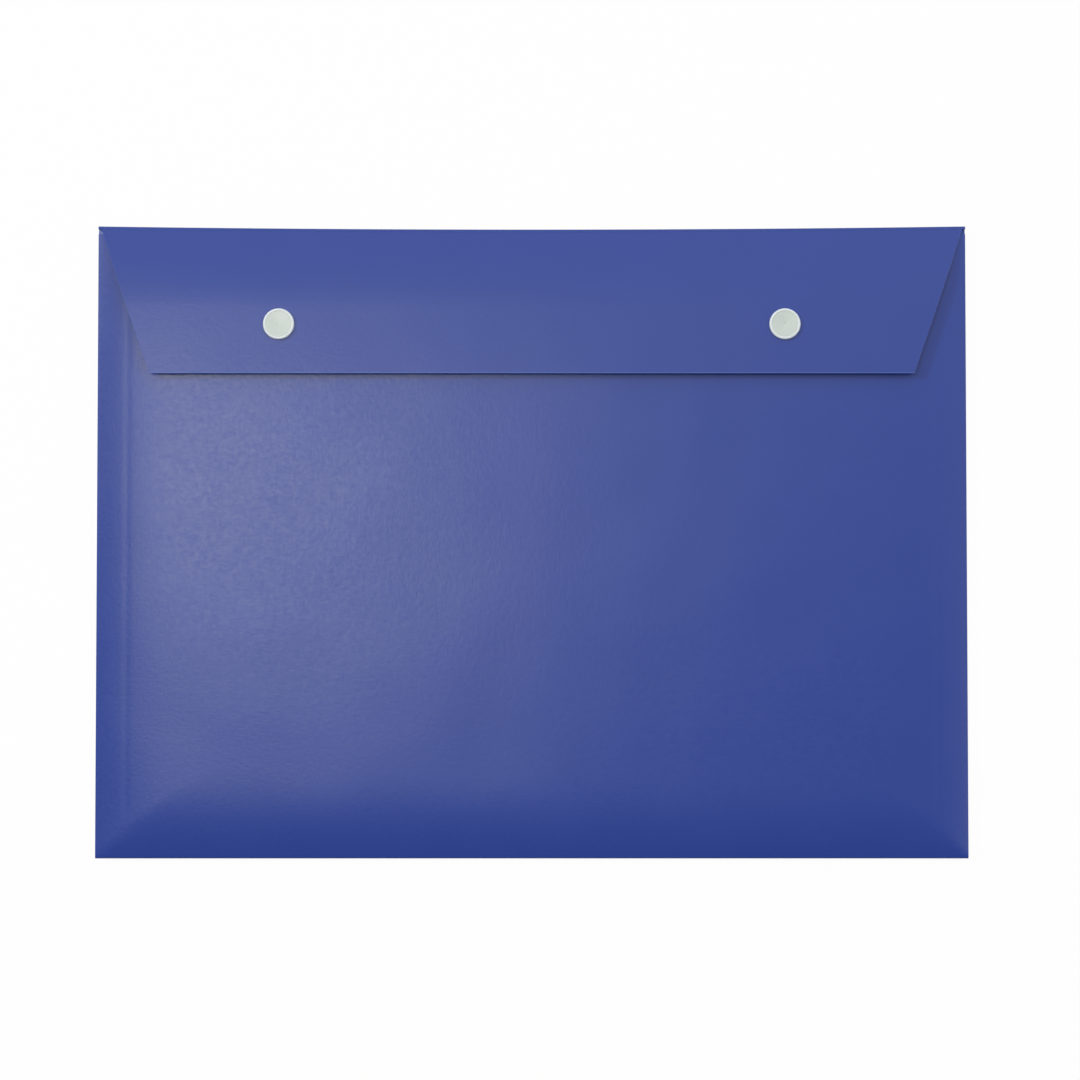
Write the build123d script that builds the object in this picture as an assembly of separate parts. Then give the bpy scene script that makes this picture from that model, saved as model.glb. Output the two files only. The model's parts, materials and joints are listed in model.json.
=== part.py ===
from build123d import *

import os
from math import atan, cos, degrees, radians, sin

# Document wallet for A4 sheets: one die-cut, creased and folded plastic sheet, closed by two press studs.
#
# The wallet lies on its back with the pocket slightly open, so it has the shape of a shallow cushion. X runs
# across the wallet, Y from the bottom fold to the flap's crease, and Z up from the surface it lies on. The origin
# is the middle of the footprint, on that surface. Sizes are in millimetres and angles in degrees.
#
# Panels are worked out from the middle of the pocket's depth, the level of the bottom fold and of the flap's
# crease. "Height" below means the distance from that level, outwards from the pocket.

# The sheet and its folds
wallet_width = 330.0
wallet_length = 240.0
pocket_depth = 6.8  # outside to outside, where the pocket is deepest
sheet = 0.5
fold_inner_radius = 0.4

# How far each panel takes to curve from its fold up to the flat middle, measured in plan
bottom_curve = 28.0
side_curve = 24.0
crease_curve = 20.0
flap_curve = 31.0

# Side tabs: they fold in from the back panel and are bonded under the front panel
tab_width = 11.0
tab_edge_margin = 0.5
tab_bottom_inset = 4.5
tab_top_inset = 3.6
back_side_run = 6.0

# The pocket's mouth: low in the middle, with a mitred shoulder at each side that reaches up under the flap
mouth_setback = 20.0
mouth_round = 9.0
shoulder_width = 1.0
shoulder_setback = 3.0

# The flap
flap_length = 56.8
flap_root_inset = 0.8
flap_taper = 19.6
flap_corner_round = 0.5
crease_land = 0.5

# Press studs: a cap is riveted through the sheet into its socket or stud
stud_side_inset = 69.3
stud_setback = 38.1
cap_diameter = 11.8
cap_height = 1.4
inner_cap_height = 0.9  # lower, so that papers slide past it
cap_edge_radius = 0.6
cap_rim_width = 0.95
cap_recess = 0.15
gate_mark_diameter = 1.0
gate_mark_depth = 0.1
flange_diameter = 9.6
flange_thickness = 0.7
flange_chamfer = 0.2
web_thickness = 0.45
knob_diameter = 4.8
knob_neck_step = 0.2
knob_height = 1.1
knob_wall = 0.5
socket_height = 1.5
socket_clearance = 0.35
socket_lip_step = 0.15
socket_slit = 0.5
socket_slits = 4
stud_rim_gap = 0.2
post_diameter = 2.6
post_clearance = 0.1
sheet_hole_clearance = 0.2
rivet_diameter = 3.1
rivet_height = 0.45

# Worked out from the sizes above
fold_radius = fold_inner_radius + sheet
middle = pocket_depth / 2
side_fold_x = wallet_width / 2 - fold_radius
bottom_fold_y = -wallet_length / 2 + fold_radius
crease_y = wallet_length / 2 - fold_radius
stud_x = wallet_width / 2 - stud_side_inset
stud_y = wallet_length / 2 - stud_setback
flap_gap = flange_thickness + stud_rim_gap + socket_height
flap_height = middle + flap_gap + sheet
flap_free_y = wallet_length / 2 - flap_length
flap_flat_y = crease_y - flap_curve
beyond = 2.0 * wallet_width  # longer than any panel, for cutting tools
crossing_step = 0.01  # keeps the flats of two crossing lines out of one plane


def curve_into_fold(height, width, radius, run=0.0):
    """Slope and bend radius of a panel that curves down from flat and ends in a straight run into a fold.

    height is how far the flat lies above the fold's centre, width is how far its edge lies from that centre in
    plan, radius is the fold's, to the same face of the sheet, and run is the straight length beside the fold.
    """
    slope = 2 * atan((height - radius) / (width + run))
    bend = (height - radius * cos(slope) - run * sin(slope)) / (1 - cos(slope))
    return degrees(slope), bend


front_side_run = tab_width + tab_edge_margin
side_fold_drop = sheet  # a side fold carries the tab and the front panel, so it lies one sheet lower
front_side_slope, front_side_bend = curve_into_fold(
    middle + side_fold_drop, side_curve, fold_radius + sheet, front_side_run
)
back_side_slope, back_side_bend = curve_into_fold(
    middle - side_fold_drop, side_curve, fold_radius, back_side_run
)
bottom_slope, bottom_bend = curve_into_fold(middle, bottom_curve, fold_radius)
back_crease_slope, back_crease_bend = curve_into_fold(middle, crease_curve, fold_radius, crease_land)
flap_slope, flap_bend = curve_into_fold(flap_height, flap_curve, fold_radius, crease_land)


def trace(start, heading, steps, offset=0.0):
    """Edges of a line that goes along straight runs and bends, shifted by offset to its left.

    A step is (length, 0) for a run, or (radius, angle) for a bend, whose angle is positive to the left.
    """
    edges = []
    x, y = start
    for size, turn in steps:
        here = Vector(x - offset * sin(radians(heading)), y + offset * cos(radians(heading)))
        if turn:
            side = 1 if turn > 0 else -1
            centre = Vector(x - side * size * sin(radians(heading)), y + side * size * cos(radians(heading)))
            reach = size - side * offset
            half, full = heading + turn / 2, heading + turn
            mid = centre + Vector(sin(radians(half)), -cos(radians(half))) * side * reach
            there = centre + Vector(sin(radians(full)), -cos(radians(full))) * side * reach
            edges.append(ThreePointArc(here, mid, there))
            x = centre.X + side * size * sin(radians(full))
            y = centre.Y - side * size * cos(radians(full))
            heading = full
        else:
            x += size * cos(radians(heading))
            y += size * sin(radians(heading))
            there = here + Vector(cos(radians(heading)), sin(radians(heading))) * size
            edges.append(Line(here, there))
    return edges


def closed(edges):
    """Face inside a chain of edges, closed by a straight line between its two ends."""
    first, last = edges[0] @ 0, edges[-1] @ 1
    return make_face(edges + [Line(last, first)])


def strip(start, heading, steps, thickness=-sheet):
    """Section of a sheet whose outer face follows the runs and bends, with its thickness to their left.

    The thickness is negative where the sheet lies to the right of its outer face.
    """
    outer = trace(start, heading, steps)
    inner = trace(start, heading, steps, thickness)
    ends = [Line(outer[0] @ 0, inner[0] @ 0), Line(outer[-1] @ 1, inner[-1] @ 1)]
    return make_face(outer + inner + ends)


def under(start, heading, steps, level, offset=0.0, over=0.0):
    """Section under a line of runs and bends, down to a level, with ends square to the line.

    over carries both ends of the line on straight, and offset moves it down.
    """
    back = Vector(cos(radians(heading)), sin(radians(heading))) * over
    longer = [(over, 0)] + steps + [(over, 0)] if over else steps
    start = (start[0] - back.X, start[1] - back.Y)
    edges = trace(start, heading, longer, -offset)
    first, last = edges[0] @ 0, edges[-1] @ 1
    final = heading + sum(turn for size, turn in steps if turn)
    low_first = Vector(first.X + (first.Y - level) * sin(radians(heading)) / cos(radians(heading)), level)
    low_last = Vector(last.X + (last.Y - level) * sin(radians(final)) / cos(radians(final)), level)
    edges += [Line(last, low_last), Line(low_last, low_first), Line(low_first, first)]
    return make_face(edges)


def vaulted_sheet(across, along):
    """Sheet under two crossing lines, one across the wallet and one along it, as heights above the middle.

    The lower of the two lines rules, so the sheet has a mitred ridge at each corner.
    """
    shallow, deep, over = -3.0, -6.0, 2.0
    step = Pos(0, 0, crossing_step)
    outside = step * extrude(Plane.XZ * under(*across, shallow), beyond, both=True)
    outside &= extrude(Plane.YZ * under(*along, shallow), beyond, both=True)
    inside = step * extrude(Plane.XZ * under(*across, deep, sheet, over), beyond, both=True)
    inside &= extrude(Plane.YZ * under(*along, deep, sheet, over), beyond, both=True)
    return outside - inside


def side_to_side(fold_height, radius, run, slope, bend):
    """Line across the wallet: run, bend, flat middle, bend, run.

    It carries on past both side folds, straight to the wallet's full width.
    """
    lean = radians(slope)
    past = wallet_width / 2 - side_fold_x - radius * sin(lean)
    start = (-wallet_width / 2, fold_height + radius * cos(lean) - past * sin(lean) / cos(lean))
    longer_run = run + past / cos(lean)
    flat = 2 * (side_fold_x - side_curve)
    return start, slope, [(longer_run, 0), (bend, -slope), (flat, 0), (bend, -slope), (longer_run, 0)]


def from_bottom(steps):
    """Line along the wallet that starts at the bottom fold and then takes the given steps from the flat."""
    start_y = bottom_fold_y - fold_radius * sin(radians(bottom_slope))
    start_height = fold_radius * cos(radians(bottom_slope))
    return (start_y, start_height), bottom_slope, [(bottom_bend, -bottom_slope)] + steps


def mouth_cut():
    """Tool that lowers the middle of the pocket's mouth and leaves a mitred shoulder at each side."""
    low = wallet_length / 2 - mouth_setback
    high = wallet_length / 2 + mouth_round
    low_x = wallet_width / 2 - shoulder_width - (mouth_setback - shoulder_setback)
    high_x = low_x + high - low
    outline = Polygon((-low_x, low), (low_x, low), (high_x, high), (-high_x, high), align=None)
    lower_corners = outline.vertices().sort_by(Axis.Y)[:2]
    return extrude(fillet(lower_corners, mouth_round), pocket_depth)


def side_trims():
    """Tools that end the back panel square at its side folds, as far as the tabs reach."""
    lean, reach = radians(back_side_slope), 4 * fold_radius
    x, height = side_fold_x, side_fold_drop
    section = Polygon(
        (x, height),
        (x + reach * sin(lean), height + reach * cos(lean)),
        (x + reach, height + reach * cos(lean)),
        (x + reach, height),
        align=None,
    )
    low, high = -wallet_length / 2 + tab_bottom_inset, wallet_length / 2 - tab_top_inset
    trim = Pos(0, (low + high) / 2, 0) * extrude(Plane.XZ * section, (high - low) / 2, both=True)
    return [trim, mirror(trim, about=Plane.YZ)]


def stud_holes():
    """Tool that makes the two post holes, through either layer."""
    radius = post_diameter / 2 + sheet_hole_clearance
    hole = Cylinder(radius, 2 * flap_height, align=(Align.CENTER, Align.CENTER, Align.MIN))
    return [Pos(x, stud_y, 0) * hole for x in (-stud_x, stud_x)]


def lift(shape):
    """Shape moved from the middle level, where heights start, to its place above the surface."""
    return Pos(0, 0, middle) * shape


def front_panel():
    """Front of the pocket, from the bottom fold to the mouth."""
    across = side_to_side(
        -side_fold_drop, fold_radius + sheet, front_side_run, front_side_slope, front_side_bend
    )
    flat = (wallet_length / 2 - shoulder_setback) - (bottom_fold_y + bottom_curve)
    along = from_bottom([(flat, 0)])
    return lift(vaulted_sheet(across, along) - mouth_cut() - stud_holes())


def back_panel():
    """Back of the pocket, from the bottom fold to the flap's crease."""
    across = side_to_side(side_fold_drop, fold_radius, back_side_run, back_side_slope, back_side_bend)
    flat = (crease_y - crease_curve) - (bottom_fold_y + bottom_curve)
    along = from_bottom([(flat, 0), (back_crease_bend, -back_crease_slope)])
    return lift(mirror(vaulted_sheet(across, along) - side_trims(), about=Plane.XY))


def bottom_fold():
    """Bend that joins the back and front panels along the bottom."""
    lean = radians(bottom_slope)
    start = (bottom_fold_y - fold_radius * sin(lean), -fold_radius * cos(lean))
    section = strip(start, 180 - bottom_slope, [(fold_radius, 2 * bottom_slope - 180)])
    return lift(extrude(Plane.YZ * section, wallet_width / 2, both=True))


def side_tab(side):
    """Tab on one side, +1 or -1: the fold from the back panel and the flat strip under the front panel."""
    lean = radians(back_side_slope)
    start = (-side_fold_x - fold_radius * sin(lean), -side_fold_drop - fold_radius * cos(lean))
    turn = 180 - back_side_slope - front_side_slope
    section = strip(start, 180 - back_side_slope, [(fold_radius, -turn), (tab_width, 0)])
    strip_solid = extrude(Plane.XZ * section, beyond, both=True)
    outer_x = wallet_width / 2 + sheet
    inner_x = side_fold_x - tab_width - sheet
    low, high = -wallet_length / 2 + tab_bottom_inset, wallet_length / 2 - tab_top_inset
    mitre = outer_x - inner_x
    plan = Polygon(
        (-outer_x, low), (-inner_x, low + mitre), (-inner_x, high - mitre), (-outer_x, high), align=None
    )
    tab = strip_solid & extrude(plan, pocket_depth, both=True)
    return lift(tab if side < 0 else mirror(tab, about=Plane.YZ))


def flap():
    """Flap, curved down to its crease, with slanted sides and rounded free corners."""
    flat = flap_flat_y - flap_free_y
    section = strip((flap_free_y, flap_height), 0, [(flat, 0), (flap_bend, -flap_slope)])
    root, tip = wallet_width / 2 - flap_root_inset, wallet_width / 2 - flap_root_inset - flap_taper
    lean = flap_taper / flap_length
    outline = Polygon(
        (-tip, flap_free_y),
        (tip, flap_free_y),
        (root + lean * fold_radius, wallet_length / 2 + fold_radius),
        (-root - lean * fold_radius, wallet_length / 2 + fold_radius),
        align=None,
    )
    free_corners = outline.vertices().sort_by(Axis.Y)[:2]
    plan = extrude(fillet(free_corners, flap_corner_round), 2 * flap_height)
    return lift((extrude(Plane.YZ * section, wallet_width, both=True) & plan) - stud_holes())


def flap_crease():
    """The bend that joins the back panel to the flap, with a short straight land on each side of it."""
    lean = radians(back_crease_slope)
    tangent = Vector(crease_y + fold_radius * sin(lean), -fold_radius * cos(lean))
    start = tangent - Vector(cos(lean), sin(lean)) * crease_land
    turn = 180 - back_crease_slope - flap_slope
    steps = [(crease_land, 0), (fold_radius, turn), (crease_land, 0)]
    section = strip((start.X, start.Y), back_crease_slope, steps, sheet)
    return lift(extrude(Plane.YZ * section, wallet_width / 2, both=True))


def turned(edges):
    """Solid turned about Z from a section drawn in X and Z."""
    return revolve(Plane.XZ * closed(edges), Axis.Z)


def riveted_cap(height, grip):
    """Cap above the sheet, with its post down through a grip of sheet and web, and the rivet head under it.

    The top has a raised rim round a shallow flat, and the moulding's gate mark in the middle.
    """
    radius, post, rivet = cap_diameter / 2, post_diameter / 2, rivet_diameter / 2
    floor, mark = height - cap_recess, gate_mark_diameter / 2
    top = Polyline(
        (0, floor - gate_mark_depth),
        (mark - gate_mark_depth, floor - gate_mark_depth),
        (mark, floor),
        (radius - cap_rim_width, floor),
        (radius - cap_rim_width + cap_recess, height),
        (radius - cap_edge_radius, height),
    )
    shoulder = height - cap_edge_radius
    edge = RadiusArc((radius - cap_edge_radius, height), (radius, shoulder), -cap_edge_radius)
    stem = Polyline(
        (radius, shoulder),
        (radius, 0),
        (post, 0),
        (post, -grip),
        (rivet, -grip),
        (rivet, -grip - rivet_height / 2),
        (post, -grip - rivet_height),
        (0, -grip - rivet_height),
    )
    return turned(list(top.edges()) + [edge] + list(stem.edges()))


def stud():
    """Stud that stands on the front panel: flange, and a hollow knob with a bead round its top."""
    hole = post_diameter / 2 + post_clearance
    flange, knob = flange_diameter / 2, knob_diameter / 2
    neck, hollow = knob - knob_neck_step, knob - knob_wall
    top = flange_thickness + knob_height
    section = Polyline(
        (hole, 0),
        (flange, 0),
        (flange, flange_thickness - flange_chamfer),
        (flange - flange_chamfer, flange_thickness),
        (neck, flange_thickness),
        (neck, top - 3 * knob_neck_step),
        (knob, top - 2 * knob_neck_step),
        (knob, top - knob_neck_step),
        (neck, top),
        (hollow, top),
        (hollow, web_thickness),
        (hole, web_thickness),
    )
    return turned(list(section.edges()))


def socket():
    """Socket that hangs under the flap: a ring with a slit lip, closed by a web at the top."""
    hole = post_diameter / 2 + post_clearance
    ring, lip = flange_diameter / 2, knob_diameter / 2 + socket_clearance
    well = lip + socket_lip_step
    mouth = lip + 2 * socket_lip_step
    section = Polyline(
        (hole, 0),
        (ring, 0),
        (ring, flange_chamfer - socket_height),
        (ring - flange_chamfer, -socket_height),
        (mouth, -socket_height),
        (lip, 2 * socket_lip_step - socket_height),
        (lip, 3 * socket_lip_step - socket_height),
        (well, 4 * socket_lip_step - socket_height),
        (well, -web_thickness),
        (hole, -web_thickness),
    )
    slit_depth = socket_height - web_thickness
    slit = Box(ring - lip, socket_slit, slit_depth, align=(Align.MIN, Align.CENTER, Align.MIN))
    slits = [
        Rot(0, 0, (n + 0.5) * 360 / socket_slits) * Pos(lip - socket_lip_step, 0, -socket_height) * slit
        for n in range(socket_slits)
    ]
    return turned(list(section.edges())) - slits


def stud_set(side, x):
    """The four pieces of one press stud, by name, in place."""
    flap_top = lift(Pos(x, stud_y, flap_height))
    pocket_top = lift(Pos(x, stud_y, middle))
    grip = sheet + web_thickness
    return {
        f"flap_cap_{side}": flap_top * riveted_cap(cap_height, grip),
        f"flap_socket_{side}": flap_top * Pos(0, 0, -sheet) * socket(),
        f"pocket_stud_{side}": pocket_top * stud(),
        f"pocket_cap_{side}": pocket_top * Pos(0, 0, -sheet) * Rot(180, 0, 0) * riveted_cap(inner_cap_height, grip),
    }


def build():
    """Every piece of the wallet, by name."""
    pieces = {
        "back_panel": back_panel(),
        "front_panel": front_panel(),
        "bottom_fold": bottom_fold(),
        "side_tab_left": side_tab(-1),
        "side_tab_right": side_tab(1),
        "flap": flap(),
        "flap_crease": flap_crease(),
    }
    pieces.update(stud_set("left", -stud_x))
    pieces.update(stud_set("right", stud_x))
    return pieces


os.makedirs("parts", exist_ok=True)
for name, shape in build().items():
    export_step(shape, f"parts/{name}.step")
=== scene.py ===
"""Blue document wallet with a wide flap and two press studs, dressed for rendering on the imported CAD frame.

X runs across the wallet, Y from the bottom fold to the flap's crease, and Z up. Lengths are in metres. A
"height" is measured outwards from the middle of the pocket's depth, the level at which the folds lie.
"""

import json
import logging
from dataclasses import dataclass
from enum import Enum
from math import atan, copysign, cos, exp, hypot, pi, radians, sin, sqrt, tan, tau
from typing import Callable, Sequence

import bmesh
import bpy
from bmesh.types import BMEdge, BMesh, BMFace
from bpy.types import ID, Material, NodeSocket, Object
from mathutils import Matrix, Vector
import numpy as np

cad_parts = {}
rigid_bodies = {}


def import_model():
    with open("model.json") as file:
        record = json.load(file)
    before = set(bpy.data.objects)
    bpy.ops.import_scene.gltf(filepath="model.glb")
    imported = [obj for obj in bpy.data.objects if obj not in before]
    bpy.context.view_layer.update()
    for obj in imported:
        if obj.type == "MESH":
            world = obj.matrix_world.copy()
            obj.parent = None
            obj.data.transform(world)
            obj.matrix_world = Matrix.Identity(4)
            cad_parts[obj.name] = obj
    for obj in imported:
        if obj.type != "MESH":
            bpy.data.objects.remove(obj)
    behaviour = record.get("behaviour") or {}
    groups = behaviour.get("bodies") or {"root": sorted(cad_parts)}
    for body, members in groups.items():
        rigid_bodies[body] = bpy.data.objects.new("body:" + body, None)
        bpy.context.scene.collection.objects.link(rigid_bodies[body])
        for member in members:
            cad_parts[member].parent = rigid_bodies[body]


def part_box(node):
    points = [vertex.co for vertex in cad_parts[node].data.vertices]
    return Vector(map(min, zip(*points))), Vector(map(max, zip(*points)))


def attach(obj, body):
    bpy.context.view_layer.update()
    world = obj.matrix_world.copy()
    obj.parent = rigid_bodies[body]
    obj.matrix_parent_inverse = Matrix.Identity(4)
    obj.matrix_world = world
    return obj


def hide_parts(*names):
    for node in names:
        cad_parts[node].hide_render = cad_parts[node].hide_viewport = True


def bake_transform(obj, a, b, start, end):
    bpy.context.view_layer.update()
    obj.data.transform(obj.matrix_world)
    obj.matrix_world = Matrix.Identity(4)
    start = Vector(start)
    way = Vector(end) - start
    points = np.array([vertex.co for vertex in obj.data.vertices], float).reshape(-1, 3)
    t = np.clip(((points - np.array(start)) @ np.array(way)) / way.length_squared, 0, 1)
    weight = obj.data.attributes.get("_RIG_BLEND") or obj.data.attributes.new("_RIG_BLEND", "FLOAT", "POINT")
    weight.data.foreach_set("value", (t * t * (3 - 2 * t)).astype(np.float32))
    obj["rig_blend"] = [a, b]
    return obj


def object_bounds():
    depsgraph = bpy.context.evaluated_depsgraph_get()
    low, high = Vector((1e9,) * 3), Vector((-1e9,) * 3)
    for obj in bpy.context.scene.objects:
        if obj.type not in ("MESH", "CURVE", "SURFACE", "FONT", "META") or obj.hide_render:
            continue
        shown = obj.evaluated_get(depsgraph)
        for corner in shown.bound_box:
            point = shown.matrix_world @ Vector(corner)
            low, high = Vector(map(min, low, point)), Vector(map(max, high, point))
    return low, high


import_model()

LOG = logging.getLogger("wallet")
MM = 0.001
CAD_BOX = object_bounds()
SHARP_EDGE = radians(60)
CRISP_EDGE = radians(30)
ROUND_STEPS = 96
SAME_PLACE = 1e-6
MERGE = 1e-7
SETTLING_STEPS = 12
REFRACTION = 1.49
MIX_INPUTS = (0, 6, 7)
MIX_RESULT = 2
Triple = tuple[float, float, float]
Colour = Triple


class Body(Enum):
    """The two bodies that the pieces ride on."""

    POCKET = "pocket"
    FLAP = "flap"


class Finish(Enum):
    """The record's material slots."""

    SHEET = "blue_sheet"
    STUD = "white_stud"


class Side(Enum):
    """Left or right half of the wallet, with the sign of X there."""

    LEFT = -1
    RIGHT = 1

    @property
    def label(self) -> str:
        """The word used in piece names."""
        return self.name.lower()


# ---- Shader graphs ----


class Signal:
    """A number that varies over a surface: an output socket with Python's arithmetic operators."""

    def __init__(self, graph: "Graph", socket: NodeSocket) -> None:
        """Wrap one output socket of a graph."""
        self.graph = graph
        self.socket = socket

    def _math(self, operation: str, *values: "Signal | float") -> "Signal":
        """Result of a Math node for some values."""
        return self.graph.add("ShaderNodeMath", {"operation": operation}, dict(enumerate(values)))

    def __add__(self, other: "Signal | float") -> "Signal":
        """Sum."""
        return self._math("ADD", self, other)

    __radd__ = __add__

    def __sub__(self, other: "Signal | float") -> "Signal":
        """Difference."""
        return self._math("SUBTRACT", self, other)

    def __mul__(self, other: "Signal | float") -> "Signal":
        """Product."""
        return self._math("MULTIPLY", self, other)

    __rmul__ = __mul__

    def eased(self) -> "Signal":
        """Smooth step over the range from 0 to 1."""
        return self.graph.add("ShaderNodeMapRange", {"interpolation_type": "SMOOTHSTEP"}, {"Value": self})


class Graph:
    """A material's nodes."""

    def __init__(self, name: str) -> None:
        """Start an empty material.

        Args:
            name: The material's name.
        """
        self.material = bpy.data.materials.new(name)
        self.material.use_nodes = True
        self.nodes = self.material.node_tree.nodes
        self.links = self.material.node_tree.links
        self.nodes.clear()

    def add(
        self, kind: str, settings: dict | None = None, inputs: dict | None = None, out: int | str = 0
    ) -> Signal:
        """Add any node.

        Args:
            kind: The node's type.
            settings: Properties to set first.
            inputs: Values or signals, by the input's name or number.
            out: The output to return, by name or number.

        Returns:
            The chosen output.
        """
        node = self.nodes.new(kind)
        for key, value in (settings or {}).items():
            setattr(node, key, value)
        for key, value in (inputs or {}).items():
            if isinstance(value, Signal):
                self.links.new(value.socket, node.inputs[key])
            else:
                node.inputs[key].default_value = value
        return Signal(self, node.outputs[out])

    def place(self) -> Signal:
        """The point's place on the object, in metres."""
        return self.add("ShaderNodeTexCoord", out="Object")

    def stretched(self, place: Signal, scale: Triple) -> Signal:
        """A place whose pattern is drawn out along the axes with a scale under 1."""
        return self.add("ShaderNodeMapping", inputs={"Vector": place, "Scale": scale})

    def noise(self, place: Signal, size: float, detail: float = 2.0, roughness: float = 0.5) -> Signal:
        """Even noise from 0 to 1 with features of a given size.

        Args:
            place: Where to read it.
            size: The features' size in metres.
            detail: Octaves of finer noise.
            roughness: The finer octaves' strength.

        Returns:
            The noise, centred on 0.5.
        """
        inputs = {"Vector": place, "Scale": 1.0 / size, "Detail": detail, "Roughness": roughness}
        return self.add("ShaderNodeTexNoise", {"noise_dimensions": "3D"}, inputs, "Fac")

    def attribute(self, name: str) -> Signal:
        """A number stored on the mesh."""
        return self.add("ShaderNodeAttribute", {"attribute_name": name}, out="Fac")

    def mix(self, factor: Signal, first: Signal | Colour, second: Signal | Colour) -> Signal:
        """Blend two colours.

        Args:
            factor: 0 for the first, 1 for the second.
            first: A colour or a signal.
            second: A colour or a signal.

        Returns:
            The blended colour.
        """
        ends = [value if isinstance(value, Signal) else (*value, 1.0) for value in (first, second)]
        inputs = dict(zip(MIX_INPUTS, (factor, *ends)))
        return self.add("ShaderNodeMix", {"data_type": "RGBA"}, inputs, MIX_RESULT)

    def bump(self, height: Signal, depth: float) -> Signal:
        """Tilt the surface by a height signal that spans a depth in metres."""
        return self.add("ShaderNodeBump", inputs={"Height": height, "Distance": depth, "Strength": 1.0})

    def plastic(self, inputs: dict) -> Material:
        """Give the material a plastic surface with these inputs, and hand it back."""
        inputs = {"IOR": REFRACTION} | inputs
        return self.finish(self.add("ShaderNodeBsdfPrincipled", inputs=inputs, out="BSDF"))

    def finish(self, shader: Signal) -> Material:
        """Send a shader to the material's output and hand back the material."""
        output = self.nodes.new("ShaderNodeOutputMaterial")
        self.links.new(shader.socket, output.inputs["Surface"])
        return self.material


@dataclass(frozen=True)
class SheetPlastic:
    """Opaque coloured polypropylene sheet with a fine matt grain and paler cut edges, partly the cut's
    whitening and partly painted highlight.

    Attributes:
        darkest: Share of the colour where grain and clouds are darkest.
        palest: Share of it where they are palest.
        worked: Paler colour of cut edges and of the flap's free-edge band: partly the cut's whitening, partly
            painted highlight.
        worked_share: How far it tends to it.
        grain_stretch: Width of the grain's short marks over their length.
        grain_octaves: The finer octaves of the grain, and their strength.
        grain_share: The grain's share in the shade, against the clouds.
        grain_gloss: How much roughness the grain adds.
    """

    colour: Colour = (0.020, 0.050, 0.285)
    darkest: float = 0.94
    palest: float = 1.05
    worked: Colour = (0.075, 0.150, 0.480)
    worked_share: float = 0.8
    roughness: float = 0.32
    grain_size: float = 0.9 * MM
    grain_stretch: float = 0.45
    grain_octaves: tuple[float, float] = (1.0, 0.3)
    grain_depth: float = 0.036 * MM
    grain_share: float = 0.4
    grain_gloss: float = 0.14
    cloud_size: float = 28 * MM
    cloud_gloss: float = 0.03
    worked_gloss: float = 0.05
    wave_size: float = 55 * MM
    wave_depth: float = 0.50 * MM

    def build(self) -> Material:
        """Build the material, with marks along the wallet and across it."""
        g = Graph("blue_sheet_plastic")
        place = g.place()
        marks = (self.grain_size, *self.grain_octaves)
        lengthwise = g.noise(g.stretched(place, (1.0, self.grain_stretch, 1.0)), *marks)
        crosswise = g.noise(g.stretched(place, (self.grain_stretch, 1.0, 1.0)), *marks)
        grain = 0.5 * (lengthwise + crosswise)
        cloud = g.noise(place, self.cloud_size)
        # Mask of cut edges and the flap's free-edge band; the paler colour there is partly the cut's
        # whitening, partly painted highlight.
        worked = g.attribute("worked")
        shade = self.grain_share * grain + (1.0 - self.grain_share) * cloud
        dark, pale = (tuple(share * c for c in self.colour) for share in (self.darkest, self.palest))
        colour = g.mix(worked * self.worked_share, g.mix(shade, dark, pale), self.worked)
        roughness = self.roughness + self.grain_gloss * (grain - 0.5)
        roughness = roughness + self.cloud_gloss * (cloud - 0.5) + self.worked_gloss * worked
        wave = g.noise(place, self.wave_size, detail=1.0)
        normal = g.bump(wave + grain * (self.grain_depth / self.wave_depth), self.wave_depth)
        return g.plastic({"Base Color": colour, "Roughness": roughness, "Normal": normal})


@dataclass(frozen=True)
class StudPlastic:
    """Milky moulded plastic of the press studs, paler and bluer at the rim: partly thicker moulding, partly
    painted highlight and painted reflection of the sheet.

    Attributes:
        middle: Colour where the moulding is thin.
        rim: Colour at the rim, where the moulding is thick; its extra paleness and blue are partly painted
            highlight and reflection.
        cloud_share: How far the faint clouds in the plastic shift the tint.
        milkiness: Share of the light that scatters inside.
        milk_depth: How far that light goes.
    """

    middle: Colour = (0.560, 0.615, 0.585)
    rim: Colour = (0.720, 0.770, 0.800)
    roughness: float = 0.33
    cloud_size: float = 2.5 * MM
    cloud_share: float = 0.10
    cloud_gloss: float = 0.06
    skin_size: float = 0.35 * MM
    skin_depth: float = 0.004 * MM
    skin_gloss: float = 0.04
    milkiness: float = 0.15
    milk_depth: float = 1.2 * MM

    def build(self) -> Material:
        """Build the material, paler and bluer towards the rim: partly the moulding's thickness, partly
        painted highlight and reflection.
        """
        g = Graph("white_stud_plastic")
        place = g.place()
        cloud = g.noise(place, self.cloud_size)
        skin = g.noise(place, self.skin_size, detail=1.0)
        # The rim is painted paler and bluer: partly thicker moulding, partly painted highlight and a painted
        # reflection of the blue sheet.
        tint = g.attribute("rim") + self.cloud_share * (cloud - 0.5)
        colour = g.mix(tint.eased(), self.middle, self.rim)
        roughness = self.roughness + self.cloud_gloss * (cloud - 0.5) + self.skin_gloss * skin
        normal = g.bump(skin, self.skin_depth)
        milk = {"Weight": self.milkiness, "Radius": (self.milk_depth,) * 3, "Scale": 1.0}
        inputs = {f"Subsurface {key}": value for key, value in milk.items()}
        return g.plastic(inputs | {"Base Color": colour, "Roughness": roughness, "Normal": normal})


# ---- Shapes ----


def smooth(low: float, high: float, value: float) -> float:
    """Smooth step from 0 at low to 1 at high."""
    t = min(max((value - low) / (high - low), 0.0), 1.0)
    return t * t * (3 - 2 * t)


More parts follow.
